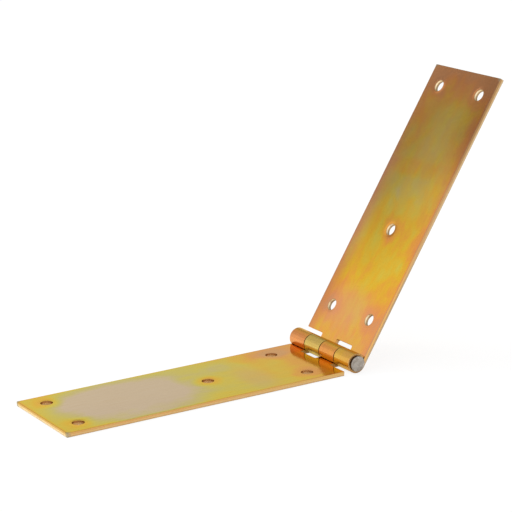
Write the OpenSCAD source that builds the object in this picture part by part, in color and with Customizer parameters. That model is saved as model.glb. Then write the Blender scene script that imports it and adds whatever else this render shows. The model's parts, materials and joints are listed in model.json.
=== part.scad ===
// Long-leaf butt hinge: two identical sheet-steel leaves whose rolled knuckles interleave on one
// riveted pin. Both leaves are blanked, notched and rolled the same way, and one is turned end for end.
//
// Frame: X runs along the fixed leaf towards the pin, Y runs along the pin and +Z is up.
// The origin is the centre of the fixed leaf's four corner screw holes, on its back face, which lies
// flat on z = 0.

/* [Leaves] */
// Width of each leaf, measured along the pin
leaf_w = 50; // [40:1:80]
// Length of each leaf, from the pin's axis to its free end
leaf_len = 145; // [110:1:300]
// Thickness of the sheet
sheet_t = 2; // [1.5:0.1:2.5]
// Angle between the insides of the two leaves
open_angle = 123; // [0:0.5:288]

/* [Knuckles] */
// Number of knuckles along the barrel, shared by the leaves in turn
knuckle_count = 4; // [2:2:6]
// Gap between neighbouring knuckles
knuckle_gap = 0.5; // [0.2:0.05:0.6]
// Distance from the pin's axis to the bottom of the notches that clear the other leaf's knuckles
notch_reach = 6.6; // [6:0.1:9]
// Radius in the corners of the notches
notch_corner_r = 0.8; // [0.3:0.1:1.5]
// Gap between the rolled lip of a knuckle and the sheet that it comes back to
lip_gap = 0.2; // [0.1:0.05:0.5]

/* [Pin] */
// Diameter of the pin
pin_d = 5; // [4:0.5:6]
// Radial clearance of the pin in the knuckles
pin_clearance = 0.05; // [0.03:0.01:0.1]
// Diameter of the riveted heads
head_d = 7.2; // [6:0.1:9]
// Thickness of the riveted heads
head_t = 1.0; // [0.6:0.1:1.5]
// Bevel on the rim of the riveted heads
head_bevel = 0.15; // [0.1:0.05:0.5]
// End play between each head and the knuckle beside it
head_play = 0.1; // [0.05:0.05:0.3]

/* [Screw holes] */
// Diameter of the plain round screw holes
hole_d = 5.5; // [4:0.5:7]
// Distance from a corner hole's centre to the long edge of the leaf
hole_edge = 9.5; // [8:0.5:12]
// Distance from the outer pair of holes to the leaf's free end
outer_hole_inset = 10; // [8:0.5:15]
// Distance from the single middle hole to the pin's axis
middle_hole_reach = 63; // [40:0.5:80]
// Distance from the inner pair of holes to the pin's axis
inner_hole_reach = 20.5; // [16:0.5:28]

/* [Hidden] */

$fn = 96;

// the knuckles
bore_r = pin_d / 2 + pin_clearance;
barrel_r = bore_r + sheet_t;
knuckle_pitch = leaf_w / knuckle_count;
// where the roll stops: its outer corner is lip_gap above the inner face of the sheet
lip_angle = -asin((bore_r - lip_gap) / barrel_r);

// the screw holes, as distances from the pin's axis and from the centre line
outer_hole_reach = leaf_len - outer_hole_inset;
hole_side = leaf_w / 2 - hole_edge;
hole_centres = [
    [outer_hole_reach, hole_side],
    [outer_hole_reach, -hole_side],
    [middle_hole_reach, 0],
    [inner_hole_reach, hole_side],
    [inner_hole_reach, -hole_side],
];

// the pin's axis in the frame of the whole hinge
axis_x = (outer_hole_reach + inner_hole_reach) / 2;
axis_z = barrel_r;

// how far cutting bodies run past the faces that they cut
over = 1;

zinc_yellow = [0.80, 0.62, 0.27];
plain_steel = [0.56, 0.54, 0.50];

// Moves a child from the pin's own frame, with the axis through the origin, into the hinge's frame.
module on_pin_axis() {
    translate([axis_x, 0, axis_z]) children();
}

// Turns an outline drawn in X and Y upright, so that X stays and Y becomes Z, and extrudes it
// along Y between two stations.
module extrude_along_pin(y_from, y_to) {
    translate([0, y_to, 0]) rotate([90, 0, 0]) linear_extrude(height = y_to - y_from) children();
}

// The outline of the bent sheet, seen along the pin: the flat lies at y = -barrel_r and runs to +X,
// and the roll goes round the far side of the axis and comes back to the flat.
module bent_sheet_outline() {
    far = 2 * barrel_r;
    translate([0, -barrel_r]) square([leaf_len, sheet_t]);
    difference() {
        circle(r = barrel_r);
        circle(r = bore_r);
        // opens the ring between the start of the flat and the lip
        polygon([
            [0, 0],
            [0, -far],
            [far, -far],
            [far * cos(lip_angle), far * sin(lip_angle)],
        ]);
    }
}

// A notch seen from above, open towards -X, with rounded inner corners.
module notch_outline(width) {
    back = barrel_r + over;
    straight_x = notch_reach - notch_corner_r;
    straight_w = width - 2 * notch_corner_r;
    translate([-back, -width / 2]) square([back + straight_x, width]);
    translate([-back, -straight_w / 2]) square([back + notch_reach, straight_w]);
    for (side = [-1, 1])
        translate([straight_x, side * straight_w / 2]) circle(r = notch_corner_r);
}

// The space for one knuckle of the other leaf. The notch at the end of the barrel runs past the
// leaf's long edge.
module knuckle_space(place) {
    at_edge = place == knuckle_count - 1;
    y_low = -leaf_w / 2 + place * knuckle_pitch - knuckle_gap / 2;
    y_high = at_edge ? leaf_w / 2 + notch_corner_r + over : y_low + knuckle_pitch + knuckle_gap;
    translate([0, (y_low + y_high) / 2, -barrel_r - over])
        linear_extrude(height = 2 * (barrel_r + over)) notch_outline(y_high - y_low);
}

// One leaf in the pin's own frame, lying flat on the +X side. Counted from the -Y end, the first
// place on the barrel is a knuckle, the second is a notch, and so on.
module leaf() {
    difference() {
        extrude_along_pin(-leaf_w / 2, leaf_w / 2) bent_sheet_outline();
        for (place = [1 : 2 : knuckle_count - 1])
            knuckle_space(place);
        for (centre = hole_centres)
            translate([centre[0], centre[1], -barrel_r - over])
                cylinder(d = hole_d, h = sheet_t + 2 * over);
    }
}

// A riveted head, from its flat underside at z = 0 up to its face.
module pin_head() {
    rotate_extrude()
        polygon([
            [0, 0],
            [head_d / 2, 0],
            [head_d / 2, head_t - head_bevel],
            [head_d / 2 - head_bevel, head_t],
            [0, head_t],
        ]);
}

module fixed_leaf() {
    color(zinc_yellow) on_pin_axis() rotate([0, 0, 180]) leaf();
}

module moving_leaf() {
    color(zinc_yellow) on_pin_axis() rotate([0, open_angle - 180, 0]) leaf();
}

module hinge_pin() {
    shank_len = leaf_w + 2 * head_play;
    color(plain_steel) on_pin_axis() {
        rotate([90, 0, 0]) cylinder(d = pin_d, h = shank_len, center = true);
        for (turn = [-90, 90])
            rotate([turn, 0, 0]) translate([0, 0, shank_len / 2]) pin_head();
    }
}

fixed_leaf();
moving_leaf();
hinge_pin();
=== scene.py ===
"""The looks of a long-leaf door hinge: two yellow-passivated sheet-steel leaves on a riveted pin.

Each leaf is made the way the real one is: a flat blank with sheared edges, punched holes and
notches is meshed first, and its tabs are then rolled round the pin. Objects are in metres, in
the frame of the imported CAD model: X runs along the fixed leaf to the pin, Y along the pin and
+Z is up. A blank is worked out in millimetres: x runs from the pin's axis to the free end, with
the tabs at negative x, y runs along the pin, and z is the height above the leaf's back.
"""

import json
import math
from collections import namedtuple
from types import SimpleNamespace

import bmesh
import bpy
from mathutils import Matrix, Vector, noise
from mathutils.geometry import delaunay_2d_cdt


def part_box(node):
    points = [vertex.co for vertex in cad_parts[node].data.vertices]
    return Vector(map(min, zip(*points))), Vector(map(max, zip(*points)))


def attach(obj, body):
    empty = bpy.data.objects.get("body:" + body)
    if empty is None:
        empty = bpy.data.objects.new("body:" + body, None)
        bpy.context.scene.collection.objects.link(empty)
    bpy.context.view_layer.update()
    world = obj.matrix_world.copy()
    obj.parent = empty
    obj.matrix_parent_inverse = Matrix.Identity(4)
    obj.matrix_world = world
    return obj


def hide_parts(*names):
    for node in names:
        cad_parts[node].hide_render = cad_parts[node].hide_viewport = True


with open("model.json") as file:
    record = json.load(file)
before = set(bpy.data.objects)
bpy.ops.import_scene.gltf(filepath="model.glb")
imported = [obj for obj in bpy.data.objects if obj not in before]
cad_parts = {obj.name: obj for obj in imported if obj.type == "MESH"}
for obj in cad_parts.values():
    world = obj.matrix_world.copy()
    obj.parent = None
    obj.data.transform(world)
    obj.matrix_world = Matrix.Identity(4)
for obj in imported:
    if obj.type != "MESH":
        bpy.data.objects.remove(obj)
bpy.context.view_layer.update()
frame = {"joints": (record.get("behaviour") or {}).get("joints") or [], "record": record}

MM = 0.001

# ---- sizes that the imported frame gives, in mm ----

MOUNTS = {mount["name"]: mount for mount in frame["record"]["mounts"]}
PIN_AXIS = Vector(frame["joints"][0]["pos_m"])
FIXED_LOW, FIXED_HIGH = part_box("fixed_leaf")
PIN_LOW, PIN_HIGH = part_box("hinge_pin")

LEAF_LEN = (PIN_AXIS.x - FIXED_LOW.x) / MM
HALF_W = (FIXED_HIGH.y - FIXED_LOW.y) / 2 / MM
BARREL_R = (PIN_AXIS.z - FIXED_LOW.z) / MM
SHEET_T = MOUNTS["fixed_leaf_middle_screw"]["dims"]["length_mm"]
HOLE_R = MOUNTS["fixed_leaf_middle_screw"]["dims"]["r_mm"]

CORNER_HOLES = MOUNTS["fixed_leaf_corner_screws"]
HOLE_SIDE = CORNER_HOLES["dims"]["spacing_y_mm"] / 2
PATTERN_X = (PIN_AXIS.x - CORNER_HOLES["pos_m"][0]) / MM
OUTER_HOLE_X = PATTERN_X + CORNER_HOLES["dims"]["spacing_x_mm"] / 2
INNER_HOLE_X = PATTERN_X - CORNER_HOLES["dims"]["spacing_x_mm"] / 2
MIDDLE_HOLE_X = (PIN_AXIS.x - MOUNTS["fixed_leaf_middle_screw"]["pos_m"][0]) / MM
HOLES = [(x, side * HOLE_SIDE) for x in (INNER_HOLE_X, OUTER_HOLE_X) for side in (-1, 1)]
HOLES.append((MIDDLE_HOLE_X, 0.0))

BACK_NORMAL = MOUNTS["moving_leaf_back"]["axis"]
LEAF_LIFT = math.atan2(BACK_NORMAL[0], -BACK_NORMAL[2])
HEAD_R = (PIN_HIGH.z - PIN_LOW.z) / 2 / MM
PIN_HALF = (PIN_HIGH.y - PIN_LOW.y) / 2 / MM

# ---- sizes that the CAD source gives, in mm ----

KNUCKLE_PITCH = HALF_W / 2
KNUCKLE_GAP = 0.5
NOTCH_REACH = 6.6
NOTCH_CORNER_R = 0.8
LIP_GAP = 0.2
SHANK_R = 2.5
HEAD_T = 1.0

NEUTRAL_R = BARREL_R - SHEET_T / 2
LIP_ANGLE = math.radians(270) + math.asin((BARREL_R - SHEET_T - LIP_GAP) / BARREL_R)
TAB_LEN = NEUTRAL_R * LIP_ANGLE

# ---- the sheet's finer shape, in mm ----

OUTER_CORNER_R = 0.3
TAB_CORNER_R = 0.4
# gentle waves, which fade in between two distances from the pin's axis
WAVE_HEIGHT = 0.035
WAVE_LENGTH = 42.0
WAVE_FADE = (4.0, 18.0)
# (times along x, times along y, step of the seed, share of the height)
WAVES = [(1.0, 1.2, 0, 1.0), (2.3, 2.6, 9, 0.4)]
# the dish that the punch leaves round a hole
DISH_DEPTH = 0.022
DISH_REACH = 0.9

# The sheared rim from the inner face to the back: (inset from the outline, height, normal's
# tilt from outward to up in degrees). The punch rolls the inner edge over and leaves a smooth
# burnished band, then a rougher torn one that sits a little further in.
RIM_INSET = 0.18
RIM = [
    (RIM_INSET, SHEET_T, 90),
    (0.12, SHEET_T - 0.004, 82),
    (0.07, SHEET_T - 0.022, 62),
    (0.03, SHEET_T - 0.055, 40),
    (0.008, SHEET_T - 0.11, 16),
    (0.0, SHEET_T - 0.2, 3),
    (0.0, SHEET_T - 0.82, 0),
    (0.01, SHEET_T - 0.92, 6),
    (0.035, SHEET_T - 1.0, 6),
    (0.035, 0.6, 0),
    (0.03, 0.14, 0),
    (0.045, 0.055, -35),
    (0.085, 0.015, -62),
    (0.13, 0.003, -84),
    (RIM_INSET, 0.0, -90),
]
TORN_RINGS = (8, 9, 10)
TORN_DEPTH = 0.022
TORN_SCALE = 1.9

# ---- the blank's mesh, in mm ----

GRID = 2.5
TAB_STATIONS = 56
HOLE_STEPS = 40
CORNER_STEPS = 5
# rings of points round each hole, and the distances that grid points keep from what is there
HOLE_COLLARS = (0.8, 1.7, 2.9)
COLLAR_CLEAR = 0.9
EDGE_CLEAR = 0.6
CORNER_CLEAR = 0.3
SAME_LINE = 1e-4
SAME_POINT = 1e-6
SLOPE_STEP = 0.05
# how flat and how square a pair of triangles is before it becomes a quad, in degrees
PAIR_FLAT = 4
PAIR_SQUARE = 40


# ---------------------------------------------------------------- camera

CAMERA_AIM = Vector((0.056748, 0.025732, 0.047159))
CAMERA_AZIMUTH = math.radians(-30.4795)
CAMERA_ELEVATION = math.radians(15.1324)
CAMERA_ROLL = math.radians(1.7979)
CAMERA_DISTANCE = 0.967242
CAMERA_LENS = 147.85
CAMERA_SENSOR = 36.0
CAMERA_CLIP = (0.01, 50.0)


def add_camera():
    """A long lens from the front left, a little above the hinge."""
    level = math.cos(CAMERA_ELEVATION)
    back = Vector((
        math.sin(CAMERA_AZIMUTH) * level,
        -math.cos(CAMERA_AZIMUTH) * level,
        math.sin(CAMERA_ELEVATION),
    ))
    right = (-back).cross(Vector((0, 0, 1))).normalized()
    up = back.cross(right)
    side = right * math.cos(CAMERA_ROLL) - up * math.sin(CAMERA_ROLL)
    top = right * math.sin(CAMERA_ROLL) + up * math.cos(CAMERA_ROLL)
    data = bpy.data.cameras.new("camera")
    data.lens = CAMERA_LENS
    data.sensor_width = CAMERA_SENSOR
    data.clip_start, data.clip_end = CAMERA_CLIP
    camera = bpy.data.objects.new("camera", data)
    turn = Matrix((side, top, back)).transposed().to_4x4()
    camera.matrix_world = Matrix.Translation(CAMERA_AIM + back * CAMERA_DISTANCE) @ turn
    bpy.context.scene.collection.objects.link(camera)
    bpy.context.scene.camera = camera


# ---------------------------------------------------------------- node helpers


def linear(red, green, blue):
    """A scene-linear colour from an sRGB one on the 0 to 255 scale."""
    def channel(value):
        value /= 255
        return value / 12.92 if value <= 0.04045 else ((value + 0.055) / 1.055) ** 2.4
    return (channel(red), channel(green), channel(blue), 1.0)


WHITE = (1.0, 1.0, 1.0, 1.0)
SCALAR_RESULTS = ("LENGTH", "DISTANCE", "DOT_PRODUCT")

# A noise pattern: how its coordinates are stretched and shifted along y, and the noise's settings
Pattern = namedtuple("Pattern", "stretch shift scale detail roughness distortion")


class Tree:
    """Adds and links shader nodes. An input may be a value or another node's output."""

    def __init__(self, owner):
        owner.use_nodes = True
        self.nodes = owner.node_tree.nodes
        self.links = owner.node_tree.links
        self.nodes.clear()

    def put(self, socket, value):
        if isinstance(value, bpy.types.NodeSocket):
            self.links.new(value, socket)
        else:
            socket.default_value = value

    def add(self, kind, inputs=(), **settings):
        node = self.nodes.new("ShaderNode" + kind)
        for key, value in settings.items():
            setattr(node, key, value)
        for key, value in dict(inputs).items():
            self.put(node.inputs[key], value)
        return node

    def math(self, operation, *values):
        return self.add("Math", enumerate(values), operation=operation).outputs[0]

    def vector(self, operation, *values):
        node = self.add("VectorMath", enumerate(values), operation=operation)
        return node.outputs["Value" if operation in SCALAR_RESULTS else "Vector"]

    def smooth(self, value, low, high, out_low=0.0, out_high=1.0):
        """A soft step from one value to another, as the input goes from low to high."""
        node = self.add("MapRange", {0: value, 1: low, 2: high, 3: out_low, 4: out_high},
                        interpolation_type="SMOOTHSTEP")
        return node.outputs[0]

    def blend(self, factor, low, high):
        return self.add("Mix", {0: factor, 2: low, 3: high}, data_type="FLOAT").outputs[0]

    def mix(self, factor, low, high, blend_type="MIX"):
        node = self.add("Mix", {0: factor, 6: low, 7: high},
                        data_type="RGBA", blend_type=blend_type)
        return node.outputs[2]

    def stretch(self, coords, scale, shift=(0.0, 0.0, 0.0)):
        return self.add("Mapping", {"Vector": coords, "Scale": scale, "Location": shift}).outputs[0]

    def noise(self, coords, pattern, seed=0.0):
        placed = self.stretch(coords, pattern.stretch, (seed, pattern.shift, 0.0))
        node = self.add("TexNoise", {
            "Vector": placed,
            "Scale": pattern.scale,
            "Detail": pattern.detail,
            "Roughness": pattern.roughness,
            "Distortion": pattern.distortion,
        })
        return node.outputs["Fac"]

    def swing(self, coords, pattern, seed):
        """A noise that goes up and down about zero."""
        return self.math("SUBTRACT", self.noise(coords, pattern, seed), 0.5)

    def ramp(self, factor, stops):
        node = self.add("ValToRGB", {0: factor})
        band = node.color_ramp
        band.elements[0].position, band.elements[0].color = stops[0]
        band.elements[1].position, band.elements[1].color = stops[-1]
        for position, colour in stops[1:-1]:
            band.elements.new(position).color = colour
        return node.outputs[0]


# ---------------------------------------------------------------- studio

FLOOR_HALF = 12.0
FLOOR_DROP = 0.0001
FLOOR_COLOUR = (0.9, 0.9, 0.9, 1.0)
FLOOR_GLOW = 0.15
FLOOR_WHITE = 0.85
# The sky is white paper up to PAPER_TOP (the sine of its elevation), brighter on the left than
# on the right. A dimmer room is above it on the far right side, and ends where a direction's
# part along ROOM_EDGE falls below zero. The room gets brighter with height.
PAPER_GLOW = (1.05, 0.87)
PAPER_FALL = (0.25, 0.55)
PAPER_TOP = (0.35, 0.38)
ROOM_GLOW = (0.33, 0.82)
ROOM_RISE = (0.475, 0.56)
ROOM_EDGE = (0.875, 0.485, 0.0)
ROOM_EDGE_BLUR = (-0.017, 0.016)
ROOM_FRONT = (-0.35, 0.1)
# A white card stands in the room, between two upright planes, up to CARD_TOP.
CARD_GLOW = 0.97
CARD_EDGES = [(0.903, 0.431, 0.0), (-0.974, -0.225, 0.0)]
CARD_BLUR = (-0.016, 0.022)
CARD_TOP = (0.56, 0.48)
# A soft light overhead, from this height in the sky
TOP_GLOW = 0.85
TOP_BAND = (0.8, 0.97)
# (name, power, size, place): soft lamps that the metal doesn't mirror
LAMPS = [
    ("top_lamp", 4.0, 2.0, (0.1, 0.1, 1.9)),
    ("key_lamp", 14.0, 0.9, (-0.75, 1.35, 1.35)),
]


def add_sky():
    """A soft sky: bright near the horizon, dimmer above, soft overhead."""
    world = bpy.data.worlds.new("studio")
    bpy.context.scene.world = world
    tree = Tree(world)
    direction = tree.add("TexCoord").outputs["Generated"]
    parts = tree.add("SeparateXYZ", {0: direction}).outputs
    far = tree.smooth(parts["Y"], *ROOM_FRONT)

    room = tree.smooth(tree.vector("DOT_PRODUCT", direction, ROOM_EDGE), *ROOM_EDGE_BLUR)
    room = tree.math("MULTIPLY", room, far)
    room = tree.math("MULTIPLY", room, tree.smooth(parts["Z"], *PAPER_TOP))
    paper_glow = tree.smooth(parts["X"], *PAPER_FALL, *PAPER_GLOW)
    room_glow = tree.smooth(parts["Z"], *ROOM_RISE, *ROOM_GLOW)
    glow = tree.blend(room, paper_glow, room_glow)

    card = tree.smooth(parts["Z"], *CARD_TOP)
    for edge in CARD_EDGES:
        beyond = tree.smooth(tree.vector("DOT_PRODUCT", direction, edge), *CARD_BLUR)
        card = tree.math("MULTIPLY", card, beyond)
    card = tree.math("MULTIPLY", card, far)
    glow = tree.blend(card, glow, CARD_GLOW)

    glow = tree.blend(tree.smooth(parts["Z"], *TOP_BAND), glow, TOP_GLOW)
    sky = tree.add("Background", {"Color": WHITE, "Strength": glow})
    tree.add("OutputWorld", {"Surface": sky.outputs[0]})


def add_lamps():
    for name, power, size, place in LAMPS:
        lamp = bpy.data.lights.new(name, "AREA")
        lamp.shape = "DISK"
        lamp.size = size
        lamp.energy = power
        light = bpy.data.objects.new(name, lamp)
        light.location = place
        light.rotation_euler = (-Vector(place)).to_track_quat("-Z", "Y").to_euler()
        light.visible_glossy = False
        light.visible_camera = False
        bpy.context.scene.collection.objects.link(light)


def floor_paper():
    """White paper that takes a soft shadow and looks almost pure white."""
    paper = bpy.data.materials.new("floor_paper")
    tree = Tree(paper)
    shade = tree.add("BsdfDiffuse", {"Color": FLOOR_COLOUR})
    glow = tree.add("Emission", {"Color": WHITE, "Strength": FLOOR_GLOW})
    lit = tree.add("AddShader", {0: shade.outputs[0], 1: glow.outputs[0]})
    white = tree.add("Emission", {"Color": WHITE, "Strength": 1.0})
    seen = tree.add("LightPath").outputs["Is Camera Ray"]
    whiter = tree.math("MULTIPLY", seen, FLOOR_WHITE)
    both = tree.add("MixShader", {0: whiter, 1: lit.outputs[0], 2: white.outputs[0]})
    tree.add("OutputMaterial", {"Surface": both.outputs[0]})
    return paper


def add_floor():
    mesh = bpy.data.meshes.new("floor")
    corners = [(-1, -1), (1, -1), (1, 1), (-1, 1)]
    rim = [(x * FLOOR_HALF, y * FLOOR_HALF, -FLOOR_DROP) for x, y in corners]
    mesh.from_pydata(rim, [], [(0, 1, 2, 3)])
    mesh.materials.append(floor_paper())
    floor = bpy.data.objects.new("floor", mesh)
    bpy.context.scene.collection.objects.link(floor)


# ---------------------------------------------------------------- the flat blank


def fillet(corner, before, after, radius):
    """Points and outward normals of a corner's arc, for an outline that runs anticlockwise."""
    into = (corner - before).normalized()
    out = (after - corner).normalized()
    turn = 1 if into.cross(out) > 0 else -1
    centre = corner + (out - into) * radius
    start = math.atan2(-into.x * turn, into.y * turn)
    for step in range(CORNER_STEPS + 1):
        angle = start + turn * step / CORNER_STEPS * math.pi / 2
        spoke = Vector((math.cos(angle), math.sin(angle)))
        yield centre + spoke * radius, spoke * turn


def grid_between(start, end, lines):
    """The grid lines that lie between two values, in the order they are met."""
    low, high = sorted((start, end))
    inside = [line for line in lines if low + CORNER_CLEAR < line < high - CORNER_CLEAR]
    return inside if end > start else inside[::-1]


def outline(corners, lines_x, lines_y):
    """A closed loop of (point, outward normal) round square corners given with their radii."""
    loop = []
    count = len(corners)
    for index, (corner, radius) in enumerate(corners):
        before = corners[index - 1][0]
        after, after_radius = corners[(index + 1) % count]
        arc = list(fillet(corner, before, after, radius))
        loop.extend(arc)
        start, normal = arc[-1]
        run = (after - corner).normalized()
        end = after - run * after_radius
        if abs(run.x) > abs(run.y):
            stops = [Vector((x, start.y)) for x in grid_between(start.x, end.x, lines_x)]
        else:
            stops = [Vector((start.x, y)) for y in grid_between(start.y, end.y, lines_y)]
        loop.extend((stop, normal) for stop in stops)
    return loop


def tab_spans():
    """The tabs' (low, high) across the leaf: knuckle places 0 and 2, counted from -Y."""
    first = (-HALF_W, -HALF_W + KNUCKLE_PITCH - KNUCKLE_GAP / 2)
    third = (KNUCKLE_GAP / 2, KNUCKLE_PITCH - KNUCKLE_GAP / 2)
    return [first, third]


def blank_corners():
    """The blank's outline, anticlockwise, with each corner's radius."""
    (low0, high0), (low2, high2) = tab_spans()
    corners = [
        (LEAF_LEN, -HALF_W, OUTER_CORNER_R),
        (LEAF_LEN, HALF_W, OUTER_CORNER_R),
        (NOTCH_REACH, HALF_W, TAB_CORNER_R),
        (NOTCH_REACH, high2, NOTCH_CORNER_R),
        (-TAB_LEN, high2, TAB_CORNER_R),
        (-TAB_LEN, low2, TAB_CORNER_R),
        (NOTCH_REACH, low2, NOTCH_CORNER_R),
        (NOTCH_REACH, high0, NOTCH_CORNER_R),
        (-TAB_LEN, high0, TAB_CORNER_R),
        (-TAB_LEN, low0, TAB_CORNER_R),
    ]
    return [(Vector((x, y)), radius) for x, y, radius in corners]


def hole_loop(centre, radius):
    """A hole's (point, normal into the hole) loop, clockwise so the metal is on its left."""
    loop = []
    for step in range(HOLE_STEPS):
        angle = -2 * math.pi * step / HOLE_STEPS
        spoke = Vector((math.cos(angle), math.sin(angle)))
        loop.append((Vector(centre) + spoke * radius, -spoke))
    return loop


def hole_gap(point):
    """The distance from a point to the nearest hole's edge."""
    return min((point - Vector(centre)).length for centre in HOLES) - HOLE_R


def inside_blank(point, margin):
    """True if a point is on the metal, at least that far from its edges."""
    if hole_gap(point) < margin:
        return False
    if abs(point.y) > HALF_W - margin or point.x > LEAF_LEN - margin:
        return False
    if point.x > NOTCH_REACH + margin:
        return True
    in_tab = any(low + margin < point.y < high - margin for low, high in tab_spans())
    return in_tab and point.x > -TAB_LEN + margin


def in_loops(point, loops):
    """True if a point is inside an odd number of the loops."""
    crossings = 0
    for loop in loops:
        for one, two in zip(loop, loop[1:] + loop[:1]):
            if (one.y > point.y) != (two.y > point.y):
                along = (point.y - one.y) / (two.y - one.y)
                crossings += point.x < one.x + along * (two.x - one.x)
    return crossings % 2 == 1


def chain(first, count):
    """The edges of a closed loop of vertices that are numbered in a row."""
    return [(first + i, first + (i + 1) % count) for i in range(count)]


def grid_lines():
    """The mesh's lines along x, with the stations of the roll among them, and along y."""
    columns = round(LEAF_LEN / GRID)
    rows = round(2 * HALF_W / GRID)
    stations = [-TAB_LEN * k / TAB_STATIONS for k in range(TAB_STATIONS)]
    lines_x = sorted(stations + [LEAF_LEN * k / columns for k in range(1, columns)])
    lines_y = [-HALF_W + 2 * HALF_W * k / rows for k in range(1, rows)]
    return stations, lines_x, lines_y


def blank_plan():
    """The blank seen from above: its edge loops, its points and the triangles on them."""
    stations, lines_x, lines_y = grid_lines()
    loops = [outline(blank_corners(), lines_x, lines_y)]
    loops += [hole_loop(centre, HOLE_R) for centre in HOLES]

    inset = [[point - normal * RIM_INSET for point, normal in loop] for loop in loops]
    points, edges = [], []
    for loop in inset:
        edges += chain(len(points), len(loop))
        points += loop
    for centre in HOLES:
        for reach in HOLE_COLLARS:
            edges += chain(len(points), HOLE_STEPS)
            points += [point for point, _ in hole_loop(centre, HOLE_R + reach)]
    for x in lines_x:
        for y in lines_y:
            point = Vector((x, y))
            clear = hole_gap(point) > HOLE_COLLARS[-1] + COLLAR_CLEAR
            if clear and inside_blank(point, EDGE_CLEAR):
                points.append(point)
    # each station of the roll is an edge right across its tab
    for low, high in tab_spans():
        for x in stations:
            line = [i for i, p in enumerate(points) if abs(p.x - x) < SAME_LINE and low < p.y < high]
            line.sort(key=lambda i: points[i].y)
            edges += list(zip(line, line[1:]))

    found = delaunay_2d_cdt(points, edges, [], 0, SAME_POINT)
    source = [origins[0] for origins in found[3]]
    triangles = []
    for face in found[2]:
        corners = [source[i] for i in face]
        middle = sum((points[i] for i in corners), Vector((0, 0))) / 3
        if in_loops(middle, inset):
            triangles.append(corners)
    return loops, points, triangles


# ---------------------------------------------------------------- the rolled leaf


def wave(x, y, seed):
    """How far the sheet stands off flat: gentle waves, and a dish round each punched hole."""
    start, full = WAVE_FADE
    fade = min(max((x - start) / (full - start), 0.0), 1.0)
    rise = 0.0
    for times_x, times_y, step, share in WAVES:
        spot = Vector((x / WAVE_LENGTH * times_x, y / WAVE_LENGTH * times_y, seed + step))
        rise += share * noise.noise(spot)
    dish = -DISH_DEPTH * math.exp(-((hole_gap(Vector((x, y))) / DISH_REACH) ** 2))
    return WAVE_HEIGHT * rise * fade + dish


def tilted(normal, x, y, seed):
    """A normal after the wave has sheared the sheet up and down."""
    step = SLOPE_STEP
    slope_x = (wave(x + step, y, seed) - wave(x - step, y, seed)) / (2 * step)
    slope_y = (wave(x, y + step, seed) - wave(x, y - step, seed)) / (2 * step)
    return Vector((normal.x - slope_x * normal.z, normal.y - slope_y * normal.z, normal.z))


def bend(x, y, z, normal):
    """A blank's point and normal after its tab is rolled round the pin, from the pin's axis."""
    if x >= 0:
        return Vector((x, y, z - BARREL_R)), normal
    turn = -x / NEUTRAL_R
    reach = BARREL_R - z
    point = Vector((-reach * math.sin(turn), y, -reach * math.cos(turn)))
    rolled = Vector((
        normal.x * math.cos(turn) + normal.z * math.sin(turn),
        normal.y,
        -normal.x * math.sin(turn) + normal.z * math.cos(turn),
    ))
    return point, rolled


def torn_depth(point, height, seed):
    """How far the torn band is broken back at a point of the outline."""
    spot = Vector((point.x, point.y, height)) * TORN_SCALE
    return TORN_DEPTH * (1 + noise.noise(spot + Vector((0, 0, seed))))


def flat_leaf(plan, seed):
    """The blank's points, normals and faces before its tabs are rolled."""
    loops, points, triangles = plan
    flat, normals, faces, top, bottom = [], [], [], [], []
    for loop in loops:
        first = len(flat)
        count = len(loop)
        for ring, (inset, height, tilt) in enumerate(RIM):
            lean = math.radians(tilt)
            for point, outward in loop:
                torn = torn_depth(point, height, seed) if ring in TORN_RINGS else 0.0
                place = point - outward * (inset + torn)
                flat.append(Vector((place.x, place.y, height)))
                side = outward * math.cos(lean)
                normals.append(Vector((side.x, side.y, math.sin(lean))))
        last = first + (len(RIM) - 1) * count
        top += range(first, first + count)
        bottom += range(last, last + count)
        for ring in range(len(RIM) - 1):
            upper = first + ring * count
            for one, two in chain(0, count):
                faces.append((upper + one, upper + count + one, upper + count + two, upper + two))
    for point in points[len(top):]:
        for height, side, row in ((SHEET_T, 1, top), (0.0, -1, bottom)):
            row.append(len(flat))
            flat.append(Vector((point.x, point.y, height)))
            normals.append(Vector((0, 0, side)))
    faces += [tuple(top[i] for i in corners) for corners in triangles]
    faces += [tuple(bottom[i] for i in reversed(corners)) for corners in triangles]
    return flat, normals, faces


def pair_triangles(mesh):
    """Joins the triangles of the faces and the rolled tabs into quads where they pair well."""
    shape = bmesh.new()
    shape.from_mesh(mesh)
    bmesh.ops.join_triangles(
        shape,
        faces=[face for face in shape.faces if len(face.verts) == 3],
        angle_face_threshold=math.radians(PAIR_FLAT),
        angle_shape_threshold=math.radians(PAIR_SQUARE),
    )
    shape.to_mesh(mesh)
    shape.free()


def keep_vectors(mesh, name, vectors):
    """Stores a vector at each of the mesh's points, under a name."""
    layer = mesh.attributes.new(name, "FLOAT_VECTOR", "POINT")
    layer.data.foreach_set("vector", [value for vector in vectors for value in vector])


def make_leaf(name, plan, placement, seed):
    """A leaf with its tabs rolled. The mesh keeps each point's place on the flat blank."""
    flat, normals, faces = flat_leaf(plan, seed)
    shape, shading = [], []
    turn = placement.to_3x3()
    for place, normal in zip(flat, normals):
        leaning = tilted(normal, place.x, place.y, seed)
        point, rolled = bend(place.x, place.y, place.z + wave(place.x, place.y, seed), leaning)
        shape.append(placement @ (point * MM))
        shading.append((turn @ rolled).normalized())

    mesh = bpy.data.meshes.new(name)
    mesh.from_pydata(shape, [], faces)
    keep_vectors(mesh, "blank", flat)
    keep_vectors(mesh, "lean", shading)
    pair_triangles(mesh)
    mesh.shade_smooth()
    exact = [Vector(point.vector) for point in mesh.attributes["lean"].data]
    mesh.normals_split_custom_set_from_vertices(exact)
    mesh.attributes.remove(mesh.attributes["lean"])
    leaf = bpy.data.objects.new(name, mesh)
    bpy.context.scene.collection.objects.link(leaf)
    return leaf


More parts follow.
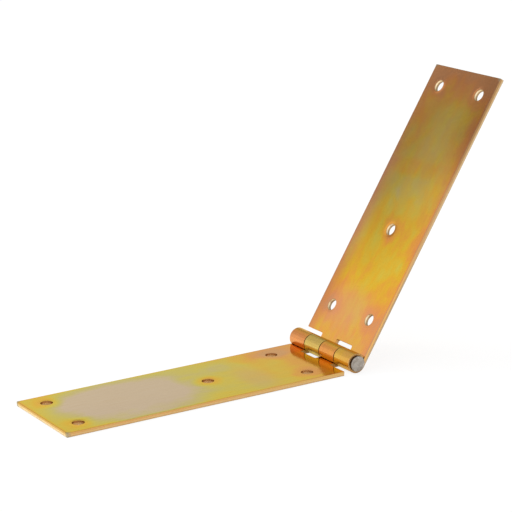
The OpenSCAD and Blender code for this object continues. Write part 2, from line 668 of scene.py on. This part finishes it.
# ---------------------------------------------------------------- the pin, in mm

PIN_STEPS = 96
FACE_RINGS = 9
ROUND_RINGS = 5
HEAD_ROUND = 0.16
HEAD_CROWN = 0.05
# the head's lower corner: (in from its radius, up from its underside)
HEAD_CORNER = [(0.0, 0.1), (0.03, 0.03), (0.1, 0.0)]
# the neck under it: (out from the shank, down from the underside)
NECK = [(0.25, 0.0), (0.07, 0.07), (0.0, 0.25)]
# the dents of the riveting tool, which fade out towards the rim, and the rim's raggedness
PEEN_DEPTH = 0.045
PEEN_SIZE = 1.1
PEEN_FADE = 6
PEEN_SEED = 7.0
RIM_RAGGED = 0.008
RIM_SCALE = 0.9
RIM_SEED = 3.0


def head_profile():
    """One riveted head from its centre to its neck: (distance from the axis, depth, peening)."""
    flat_r = HEAD_R - HEAD_ROUND
    profile = []
    for k in range(1, FACE_RINGS + 1):
        reach = k / FACE_RINGS
        profile.append((flat_r * reach, HEAD_CROWN * reach ** 2, 1.0 - reach ** PEEN_FADE))
    for k in range(1, ROUND_RINGS + 1):
        angle = k / ROUND_RINGS * math.pi / 2
        depth = HEAD_CROWN + (HEAD_ROUND - HEAD_CROWN) * (1 - math.cos(angle))
        profile.append((flat_r + HEAD_ROUND * math.sin(angle), depth, 0.0))
    profile += [(HEAD_R - inward, HEAD_T - up, 0.0) for inward, up in HEAD_CORNER]
    profile += [(SHANK_R + out, HEAD_T + down, 0.0) for out, down in NECK]
    return profile


def dent(x, z, side):
    """How deep the riveting tool has struck a head at a place on its face."""
    spot = Vector((x / PEEN_SIZE, side * PEEN_SEED, z / PEEN_SIZE))
    return PEEN_DEPTH * (0.5 - noise.noise(spot))


def raggedness(x, z, side):
    """How far the rim of a head swells or shrinks, as a factor."""
    spot = Vector((x, side * RIM_SEED, z)) * RIM_SCALE
    return 1.0 + RIM_RAGGED * (noise.noise(spot) - 0.5)


def make_pin(name):
    """The pin: a straight shank, with a peened head worked on to each end."""
    shape = bmesh.new()
    rows = []
    for side in (-1, 1):
        profile = head_profile() if side < 0 else head_profile()[::-1]
        for reach, depth, peened in profile:
            row = []
            for step in range(PIN_STEPS):
                angle = 2 * math.pi * step / PIN_STEPS
                x, z = reach * math.cos(angle), reach * math.sin(angle)
                swell = raggedness(x, z, side) if reach > HEAD_R - HEAD_ROUND else 1.0
                y = side * (PIN_HALF - depth - peened * dent(x, z, side))
                row.append(shape.verts.new(PIN_AXIS + Vector((x * swell, y, z * swell)) * MM))
            rows.append(row)
    for one, two in zip(rows, rows[1:]):
        for a, b in chain(0, PIN_STEPS):
            shape.faces.new((one[a], two[a], two[b], one[b]))
    for row, side in ((rows[0], -1), (rows[-1], 1)):
        tip = Vector((0, side * (PIN_HALF - dent(0, 0, side)), 0))
        centre = shape.verts.new(PIN_AXIS + tip * MM)
        for a, b in chain(0, PIN_STEPS):
            shape.faces.new((centre, row[a], row[b]))
    bmesh.ops.recalc_face_normals(shape, faces=shape.faces)
    mesh = bpy.data.meshes.new(name)
    shape.to_mesh(mesh)
    shape.free()
    mesh.shade_smooth()
    pin = bpy.data.objects.new(name, mesh)
    bpy.context.scene.collection.objects.link(pin)
    return pin


# ---------------------------------------------------------------- yellow zinc passivate

# The film's colours, from its thinnest to its thickest
FILM_COLOURS = [
    (0.00, linear(212, 145, 97)),
    (0.14, linear(226, 146, 84)),
    (0.30, linear(230, 160, 68)),
    (0.45, linear(226, 180, 54)),
    (0.58, linear(216, 190, 72)),
    (0.70, linear(206, 190, 98)),
    (0.83, linear(200, 184, 128)),
    (1.00, linear(204, 181, 170)),
]
BARE_ZINC = linear(160, 150, 126)
HAZE = linear(212, 156, 116)
BLOOM = linear(214, 158, 132)
STAIN = linear(150, 132, 112)
POLISHED_BEND = linear(238, 206, 150)
ROLLED_SHEEN = linear(240, 214, 160)
DARK_LIP_TONE = linear(172, 150, 118)
STAINED_EDGE = linear(208, 154, 96)
BARREL_END_SHADE = linear(186, 142, 88)
GRAZING_TINT = (0.93, 0.9, 0.62, 1.0)
LIP_TINT = (0.5, 0.45, 0.34, 1.0)

# Patterns over the sheet, in mm. On the back they are taken BACK_SHIFT away, so that they differ.
BACK_SHIFT = 60.0
DRIFT = Pattern((1, 1, 1), 0, 0.09, 2.0, 0.5, 0.0)
CLOUD = Pattern((0.7, 1, 1), 5, 0.032, 3.0, 0.5, 0.8)
MOTTLE = Pattern((0.6, 1, 1), 2, 0.16, 4.0, 0.6, 0.4)
VEIL = Pattern((0.8, 1.3, 1), 8, 0.11, 3.0, 0.55, 0.5)
DRAWN = Pattern((1.4, 0.03, 1), 0, 1.0, 3.0, 0.6, 0.0)
RAGGED = Pattern((0.9, 0.9, 2.2), 0, 1.3, 3.0, 0.6, 0.0)
SCUFF = Pattern((1, 1, 1), 0, 1.6, 3.0, 0.65, 0.0)
MARKS = Pattern((0.05, 1.6, 1), 0, 1.0, 4.0, 0.6, 0.0)
PEBBLE = Pattern((1, 1, 1), 0, 1.7, 3.0, 0.55, 0.0)

# How the film lies, in mm: each pair is where an effect ends and where it is full
DRIFT_REACH = 7.0
BARREL_START = (2.0, -2.0)
BARREL_CROWN = (-14.5, -11.0)
EDGE_BAND = (0.0, 8.0)
LIP_BAND = (0.3, 1.6)
LIP_CHANGE = 0.2
HOLE_BAND = (HOLE_R, 9.5)
CLOUD_CHANGE = 0.5
BARREL_MOTTLE = 0.3

# How noises become shares: (low, high, share at low, share at high). A look gives the polish's.
VEIL_SHARE = (0.3, 0.65, 0.45, 1.0)
STAINED_SHARE = (0.3, 0.7, 0.0, 0.5)
SHEEN_SHARE = (0.35, 0.7, 0.0, 0.16)
DRAWN_BAND = (0.3, 0.75)

# Blots: how much the drift bends their outline, and the shares of their reach where they begin
# to fade and where they are gone
PATCH_WANDER, PATCH_FADE = 0.03, (0.6, 1.25)
BLOOM_WANDER, BLOOM_FADE = 0.04, (0.3, 1.25)
STAIN_WANDER, STAIN_FADE = 0.04, (0.1, 1.2)

# The sheared walls, in mm
WALL_EDGE = (0.02, 0.12)
TORN_WANDER = 0.5
TORN_LINE = (0.55, 0.75)
ROOT_SPAN = (80.0, 30.0)
END_WALL = (0.3, 0.1)
HOLE_WALL = (HOLE_R + 0.5, HOLE_R + 0.3)
LIP_TONE_BAND = (0.34, 0.1)
CORNER_RUB = (3.6, 1.4)
CORNER_RAGGED = 2.4

# Rare hairline scratches: stretch, scale, distortion, detail, the detail's scale and threshold
HAIR_STRETCH = (1.0, 0.35, 1)
HAIR_WAVE = {"Scale": 0.21, "Distortion": 34.0, "Detail": 2.0, "Detail Scale": 0.35}
HAIR_LINE = (0.9975, 1.0)

# The film's own roughness, and what marks, pebble, walls, barrel and rubbed corners add to it
FILM_ROUGH = 0.06
MARKS_ROUGH, PEBBLE_ROUGH, WALL_ROUGH, BARREL_ROUGH, RUBBED_ROUGH = 0.05, 0.04, 0.19, 0.13, 0.08
# Heights in the relief, in units of RELIEF_HEIGHT metres
MARKS_HEIGHT, PEBBLE_HEIGHT, HAIR_HEIGHT, TORN_HEIGHT = 0.5, 0.5, -0.25, 3.0
RELIEF_HEIGHT = 0.0000035

# What differs between the leaves. The film is the plain thickness, and each change adds to it.
# A barrel_fall is the change per mm along the pin. Patches change the film, blooms and stains
# tint it: (x, y, reach x, reach y, amount), in mm. A haze is (clear x, full x, amount).
FIXED_LOOK = {
    "film": 0.64,
    "edge_change": 0.0,
    "hole_change": 0.28,
    "mottle": 0.22,
    "barrel_film": 0.2,
    "barrel_fall": 0.004,
    "barrel_crown": 0.22,
    "polish": (0.0, 0.02),
    "lip": 0.3,
    "wall_rub": -0.2,
    "burnished": linear(196, 154, 94),
    "burnished_root": linear(200, 166, 98),
    "torn": linear(204, 174, 122),
    # painted highlight: the free end's wall lighter than the other walls, almost white in its lower band
    "lit_end_top": linear(224, 182, 108),
    "lit_end_bottom": linear(252, 236, 196),
    # painted shade: the hole walls' upper band a little darker than the other walls
    "lit_hole_wall": linear(190, 140, 86),
    "lit_hole_back": linear(208, 168, 116),
    "haze": [(60.0, 40.0, 0.12)],
    "blooms": [(43.0, 8.0, 9.0, 17.0, 0.35), (19.0, -17.0, 11.0, 8.0, 0.4)],
    "stains": [],
    "patches": [
        (102.0, 0.0, 36.0, 29.0, 0.38),
        (102.0, 1.0, 20.0, 15.0, 0.09),
        (50.0, -13.0, 6.0, 6.0, 0.10),
        (22.0, 0.0, 16.0, 40.0, -0.12),
        (150.0, 0.0, 14.0, 40.0, -0.08),
        (8.0, 0.0, 14.0, 40.0, -0.14),
        (34.0, -18.0, 8.0, 8.0, -0.18),
        (137.0, -18.0, 12.0, 9.0, -0.05),
        (138.0, 19.0, 9.0, 7.0, -0.05),
        (15.0, -20.0, 16.0, 8.0, -0.32),
        (110.0, -26.0, 36.0, 9.0, -0.13),
        (68.0, -3.0, 10.0, 8.0, -0.12),
    ],
}
MOVING_LOOK = {
    "film": 0.53,
    "edge_change": 0.14,
    "hole_change": 0.2,
    "mottle": 0.5,
    "barrel_film": 0.58,
    "barrel_fall": 0.008,
    "barrel_crown": 0.0,
    "polish": (0.0, 0.04),
    "lip": 0.7,
    "wall_rub": -1.0,
    "burnished": linear(184, 146, 100),
    "burnished_root": linear(226, 174, 98),
    # painted highlight: the free end's wall lighter than the other walls
    "torn": linear(198, 174, 134),
    "lit_end_top": linear(190, 150, 110),
    "lit_end_bottom": linear(226, 196, 150),
    # painted light on the hole walls: the upper band almost white, a painted highlight, the lower band
    # darker, painted shade
    "lit_hole_wall": linear(250, 228, 186),
    "lit_hole_back": linear(172, 146, 112),
    "haze": [(52.0, 104.0, 0.42), (36.0, 8.0, 0.35)],
    "blooms": [(72.0, 28.0, 50.0, 12.0, 0.6), (22.0, 3.0, 12.0, 20.0, 0.3)],
    "stains": [(122.0, -27.0, 36.0, 17.0, 0.4), (30.0, 28.0, 36.0, 14.0, 0.3)],
    "patches": [
        (8.0, 0.0, 38.0, 50.0, -0.19),
        (160.0, 0.0, 30.0, 70.0, -0.42),
        (138.0, 9.0, 5.0, 5.0, 0.18),
        (88.0, -24.0, 36.0, 14.0, -0.10),
        (110.0, -27.0, 20.0, 9.0, -0.12),
        (112.0, 24.0, 18.0, 14.0, -0.09),
        (20.0, 15.0, 9.0, 6.0, -0.06),
        (22.0, -17.0, 9.0, 7.0, -0.10),
        (80.0, 15.0, 10.0, 9.0, 0.05),
        (85.0, 4.0, 7.0, 11.0, 0.10),
        (94.0, 5.0, 5.0, 20.0, -0.10),
        (113.0, -1.0, 16.0, 10.0, 0.05),
        (62.0, -14.0, 12.0, 14.0, -0.10),
        (126.0, 16.0, 12.0, 9.0, -0.10),
    ],
}


def sheet_places(tree, seed):
    """Where a point lies on the flat blank, and how far it is from edges and holes, in mm."""
    blank = tree.add("Attribute", attribute_name="blank").outputs["Vector"]
    parts = tree.add("SeparateXYZ", {0: blank}).outputs
    x, y, z = parts[0], parts[1], parts[2]
    across = tree.math("ABSOLUTE", y)
    is_back = tree.math("LESS_THAN", z, SHEET_T / 2)
    shifted = tree.math("MULTIPLY", is_back, BACK_SHIFT)
    spread = tree.add("CombineXYZ", {0: x, 1: y, 2: shifted}).outputs[0]

    # blots are mirrored on the back, where the leaf drained the other way
    mirror = tree.math("MULTIPLY_ADD", is_back, -2.0, 1.0)
    drained = tree.add("CombineXYZ", {0: x, 1: tree.math("MULTIPLY", y, mirror)}).outputs[0]

    from_end = tree.math("SUBTRACT", LEAF_LEN, x)
    from_side = tree.math("SUBTRACT", HALF_W, across)
    flat = tree.add("CombineXYZ", {0: x, 1: y}).outputs[0]
    folded = tree.add("CombineXYZ", {0: x, 1: across}).outputs[0]
    from_holes = tree.vector("DISTANCE", flat, (MIDDLE_HOLE_X, 0, 0))
    for hole_x in (INNER_HOLE_X, OUTER_HOLE_X):
        from_pair = tree.vector("DISTANCE", folded, (hole_x, HOLE_SIDE, 0))
        from_holes = tree.math("MINIMUM", from_holes, from_pair)
    return SimpleNamespace(
        blank=blank, x=x, y=y, z=z, spread=spread, drained=drained,
        drift=tree.math("MULTIPLY", tree.swing(spread, DRIFT, seed), DRIFT_REACH),
        from_end=from_end,
        from_edge=tree.math("MINIMUM", from_side, from_end),
        from_holes=from_holes,
        from_corner=tree.vector("DISTANCE", folded, (LEAF_LEN, HALF_W, 0)),
        on_barrel=tree.smooth(x, *BARREL_START),
    )


def blot(tree, sheet, area, wander):
    """The distance from a blot's middle as a share of its reach, with a wandering outline."""
    at_x, at_y, reach_x, reach_y = area
    moved = tree.vector("SUBTRACT", sheet.drained, (at_x, at_y, 0))
    scaled = tree.vector("DIVIDE", moved, (reach_x, reach_y, 1))
    return tree.math("MULTIPLY_ADD", sheet.drift, wander, tree.vector("LENGTH", scaled))


def film_thickness(tree, sheet, look, seed):
    """The film's thickness, from 0 to 1: thin at edges and holes, thick where it drained to."""
    mottle = tree.swing(sheet.spread, MOTTLE, seed)
    cloud = tree.swing(sheet.spread, CLOUD, seed)
    total = tree.math("MULTIPLY_ADD", cloud, CLOUD_CHANGE, look["film"])
    total = tree.math("MULTIPLY_ADD", mottle, look["mottle"], total)
    for *area, change in look["patches"]:
        away = blot(tree, sheet, area, PATCH_WANDER)
        total = tree.math("ADD", total, tree.smooth(away, *PATCH_FADE, change, 0.0))

    near_edge = tree.math("ADD", sheet.from_edge, sheet.drift)
    near_hole = tree.math("ADD", sheet.from_holes, sheet.drift)
    for thinned in (
        tree.smooth(near_edge, *EDGE_BAND, look["edge_change"], 0.0),
        tree.smooth(sheet.from_edge, *LIP_BAND, LIP_CHANGE, 0.0),
        tree.smooth(near_hole, *HOLE_BAND, look["hole_change"], 0.0),
    ):
        total = tree.math("SUBTRACT", total, thinned)

    rolled = tree.math("MULTIPLY_ADD", mottle, BARREL_MOTTLE, look["barrel_film"])
    rolled = tree.math("MULTIPLY_ADD", sheet.y, look["barrel_fall"], rolled)
    crown = tree.smooth(sheet.x, *BARREL_CROWN, 0.0, look["barrel_crown"])
    return tree.blend(sheet.on_barrel, total, tree.math("ADD", rolled, crown))


def film_colour(tree, sheet, look, seed):
    """The film's colour with its haze and blooms, and with the roll polished by its drawing."""
    colour = tree.ramp(film_thickness(tree, sheet, look, seed), FILM_COLOURS)
    veil = tree.smooth(tree.noise(sheet.spread, VEIL, seed), *VEIL_SHARE)
    for clear_x, full_x, amount in look["haze"]:
        haze = tree.math("MULTIPLY", tree.smooth(sheet.x, clear_x, full_x, 0.0, amount), veil)
        colour = tree.mix(haze, colour, HAZE)
    for *area, amount in look["blooms"]:
        away = blot(tree, sheet, area, BLOOM_WANDER)
        colour = tree.mix(tree.smooth(away, *BLOOM_FADE, amount, 0.0), colour, BLOOM)
    drawn = tree.smooth(tree.noise(sheet.spread, DRAWN, seed), *DRAWN_BAND, *look["polish"])
    return tree.mix(tree.math("MULTIPLY", sheet.on_barrel, drawn), colour, POLISHED_BEND)


def wall_colour(tree, sheet, look, ragged):
    """The sheared walls: a burnished band at the inner face, over a torn one, with painted highlights
    and painted shade on the free end's wall, the hole walls and the roll's walls.
    """
    torn_line = tree.math("MULTIPLY_ADD", ragged, TORN_WANDER, sheet.z)
    torn = tree.smooth(torn_line, *(SHEET_T - depth for depth in TORN_LINE))
    root = tree.smooth(sheet.x, *ROOT_SPAN)
    burnished = tree.mix(root, look["burnished"], look["burnished_root"])
    colour = tree.mix(torn, burnished, look["torn"])
    # painted highlight: the free end's wall is made lighter, a painted reflection of the bright floor
    lit_end_wall = tree.mix(torn, look["lit_end_top"], look["lit_end_bottom"])
    colour = tree.mix(tree.smooth(sheet.from_end, *END_WALL), colour, lit_end_wall)
    colour = tree.mix(tree.smooth(ragged, *STAINED_SHARE), colour, STAINED_EDGE)
    # painted shade: the roll's walls, in the seams between knuckles, under the pin's heads and at the
    # tucked lip, are darkened
    colour = tree.mix(sheet.on_barrel, colour, BARREL_END_SHADE)
    # painted light: the hole walls get their own tones, a painted highlight on the lifted leaf and
    # painted shade on the lying one
    lit_hole_wall = tree.mix(torn, look["lit_hole_wall"], look["lit_hole_back"])
    return tree.mix(tree.smooth(sheet.from_holes, *HOLE_WALL), colour, lit_hole_wall)


def passivated_steel(name, look, seed):
    """Yellow zinc passivate: an iridescent film on sheet steel, with its wear and its marks."""
    material = bpy.data.materials.new(name)
    tree = Tree(material)
    sheet = sheet_places(tree, seed)
    colour = film_colour(tree, sheet, look, seed)

    # a darker, greyer tone on the rolled lips, and the sheared walls
    low, high = WALL_EDGE
    above = tree.smooth(sheet.z, low, high)
    below = tree.smooth(sheet.z, SHEET_T - low, SHEET_T - high)
    wall = tree.math("MULTIPLY", above, below)
    ragged = tree.noise(sheet.blank, RAGGED)
    from_rim = tree.math("MINIMUM", sheet.from_edge, tree.math("SUBTRACT", sheet.from_holes, HOLE_R))
    lip = tree.smooth(tree.math("ABSOLUTE", from_rim), *LIP_TONE_BAND, 0.0, look["lip"])
    colour = tree.mix(lip, colour, DARK_LIP_TONE)
    colour = tree.mix(wall, colour, wall_colour(tree, sheet, look, ragged))

    # dull stains, and the corners rubbed back to zinc
    for *area, depth in look["stains"]:
        away = blot(tree, sheet, area, STAIN_WANDER)
        colour = tree.mix(tree.smooth(away, *STAIN_FADE, depth, 0.0), colour, STAIN, "MULTIPLY")
    scuffed = tree.math("MULTIPLY_ADD", tree.noise(sheet.blank, SCUFF), CORNER_RAGGED, sheet.from_corner)
    rubbed = tree.smooth(scuffed, *CORNER_RUB)
    rubbed = tree.math("MULTIPLY_ADD", tree.math("MULTIPLY", rubbed, wall), look["wall_rub"], rubbed)
    colour = tree.mix(rubbed, colour, BARE_ZINC)

    # fine rolling marks along the leaf, a slight pebble and a few hairline scratches
    marks = tree.noise(sheet.spread, MARKS)
    pebble = tree.noise(sheet.blank, PEBBLE)
    waves = {"Vector": tree.stretch(sheet.spread, HAIR_STRETCH), **HAIR_WAVE}
    hair = tree.add("TexWave", waves, wave_type="BANDS", bands_direction="DIAGONAL").outputs["Fac"]
    hair = tree.smooth(hair, *HAIR_LINE)
    colour = tree.mix(tree.smooth(marks, *SHEEN_SHARE), colour, ROLLED_SHEEN, "MULTIPLY")

    rough = FILM_ROUGH
    for part, share in (
        (marks, MARKS_ROUGH),
        (pebble, PEBBLE_ROUGH),
        (wall, WALL_ROUGH),
        (sheet.on_barrel, BARREL_ROUGH),
        (rubbed, RUBBED_ROUGH),
    ):
        rough = tree.math("MULTIPLY_ADD", part, share, rough)
    relief = 0.0
    for part, height in (
        (pebble, PEBBLE_HEIGHT),
        (marks, MARKS_HEIGHT),
        (hair, HAIR_HEIGHT),
        (tree.math("MULTIPLY", wall, ragged), TORN_HEIGHT),
    ):
        relief = tree.math("MULTIPLY_ADD", part, height, relief)
    bump = tree.add("Bump", {"Height": relief, "Strength": 1.0, "Distance": RELIEF_HEIGHT})

    shade = tree.add("BsdfPrincipled", {
        "Base Color": colour,
        "Metallic": 1.0,
        "Roughness": rough,
        "Specular Tint": tree.mix(lip, GRAZING_TINT, LIP_TINT),
        "Normal": bump.outputs[0],
    })
    tree.add("OutputMaterial", {"Surface": shade.outputs[0]})
    return material


# ---------------------------------------------------------------- the pin's steel

STEEL_TONES = [
    (0.30, linear(150, 141, 130)),
    (0.55, linear(168, 161, 152)),
    (0.75, linear(188, 182, 172)),
]
PITTED_STEEL = linear(104, 96, 88)
FLANK_SHADE_STEEL = linear(78, 62, 50)
PITS = Pattern((1, 1, 1), 0, 1.5, 4.0, 0.62, 0.0)
GRAIN = Pattern((1, 1, 1), 0, 7.0, 3.0, 0.6, 0.0)
TARNISH = Pattern((1, 1, 1), 0, 0.45, 3.0, 0.5, 0.6)
# how the pits' noise becomes a share: (low, high, share at low, share at high)
PITTED_SHARE = (0.4, 0.62, 0.35, 0.0)
# the flank of a head, painted dark as painted shade, in mm in from the pin's end: where it starts, and
# its inner end
FLANK_START = (0.08, 0.2)
FLANK_END = (HEAD_T + 0.3, HEAD_T)
STEEL_ROUGH = 0.28
PITS_ROUGH = 0.2
GRAIN_HEIGHT = 0.3
PITS_HEIGHT = 0.00003


def peened_steel(name):
    """The pin's dull steel: grey, pebbled by the riveting tool and slightly stained, with painted shade
    on each head's flank.
    """
    material = bpy.data.materials.new(name)
    tree = Tree(material)
    place = tree.vector("SUBTRACT", tree.add("TexCoord").outputs["Object"], PIN_AXIS)
    coords = tree.add("VectorMath", {0: place, "Scale": 1 / MM}, operation="SCALE").outputs[0]
    pits = tree.noise(coords, PITS)
    colour = tree.ramp(tree.noise(coords, TARNISH), STEEL_TONES)
    colour = tree.mix(tree.smooth(pits, *PITTED_SHARE), colour, PITTED_STEEL)

    along = tree.math("ABSOLUTE", tree.add("SeparateXYZ", {0: coords}).outputs[1])
    depth = tree.math("SUBTRACT", PIN_HALF, along)
    flank = tree.math("MULTIPLY", tree.smooth(depth, *FLANK_START), tree.smooth(depth, *FLANK_END))
    # painted shade: each head's flank and the neck under it are darkened
    colour = tree.mix(flank, colour, FLANK_SHADE_STEEL)

    rough = tree.math("MULTIPLY_ADD", pits, PITS_ROUGH, STEEL_ROUGH)
    relief = tree.math("MULTIPLY_ADD", tree.noise(coords, GRAIN), GRAIN_HEIGHT, pits)
    bump = tree.add("Bump", {"Height": relief, "Strength": 1.0, "Distance": PITS_HEIGHT})
    shade = tree.add("BsdfPrincipled", {
        "Base Color": colour,
        "Metallic": 1.0,
        "Roughness": rough,
        "Normal": bump.outputs[0],
    })
    tree.add("OutputMaterial", {"Surface": shade.outputs[0]})
    return material


# ---------------------------------------------------------------- the hinge

# seeds of the leaves' waves and of their films
FIXED_SEEDS = (2.7, 3.0)
MOVING_SEEDS = (8.1, 31.0)


def add_leaf(name, material_name, plan, turn, look, seeds):
    """One leaf on the pin's axis, with its own waves and its own film."""
    wave_seed, film_seed = seeds
    leaf = make_leaf(name, plan, Matrix.Translation(PIN_AXIS) @ turn, wave_seed)
    leaf.data.materials.append(passivated_steel(material_name, look, film_seed))
    return leaf


def build():
    """The studio, the two leaves and the pin, each riding on its body."""
    bpy.context.scene.view_settings.view_transform = "Standard"
    add_camera()
    add_sky()
    add_lamps()
    add_floor()

    plan = blank_plan()
    facing_back = Matrix.Rotation(math.pi, 4, "Z")
    lifted = Matrix.Rotation(-LEAF_LIFT, 4, "Y")
    fixed = add_leaf("fixed_leaf_sheet", "passivate_fixed", plan, facing_back, FIXED_LOOK, FIXED_SEEDS)
    moving = add_leaf("moving_leaf_sheet", "passivate_moving", plan, lifted, MOVING_LOOK, MOVING_SEEDS)
    pin = make_pin("riveted_pin")
    pin.data.materials.append(peened_steel("peened_steel"))

    for piece, body, node, finish in (
        (fixed, "fixed", "fixed_leaf", "yellow_zinc_steel"),
        (moving, "moving", "moving_leaf", "yellow_zinc_steel"),
        (pin, "fixed", "hinge_pin", "pin_steel"),
    ):
        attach(piece, body)
        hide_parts(node)


build()
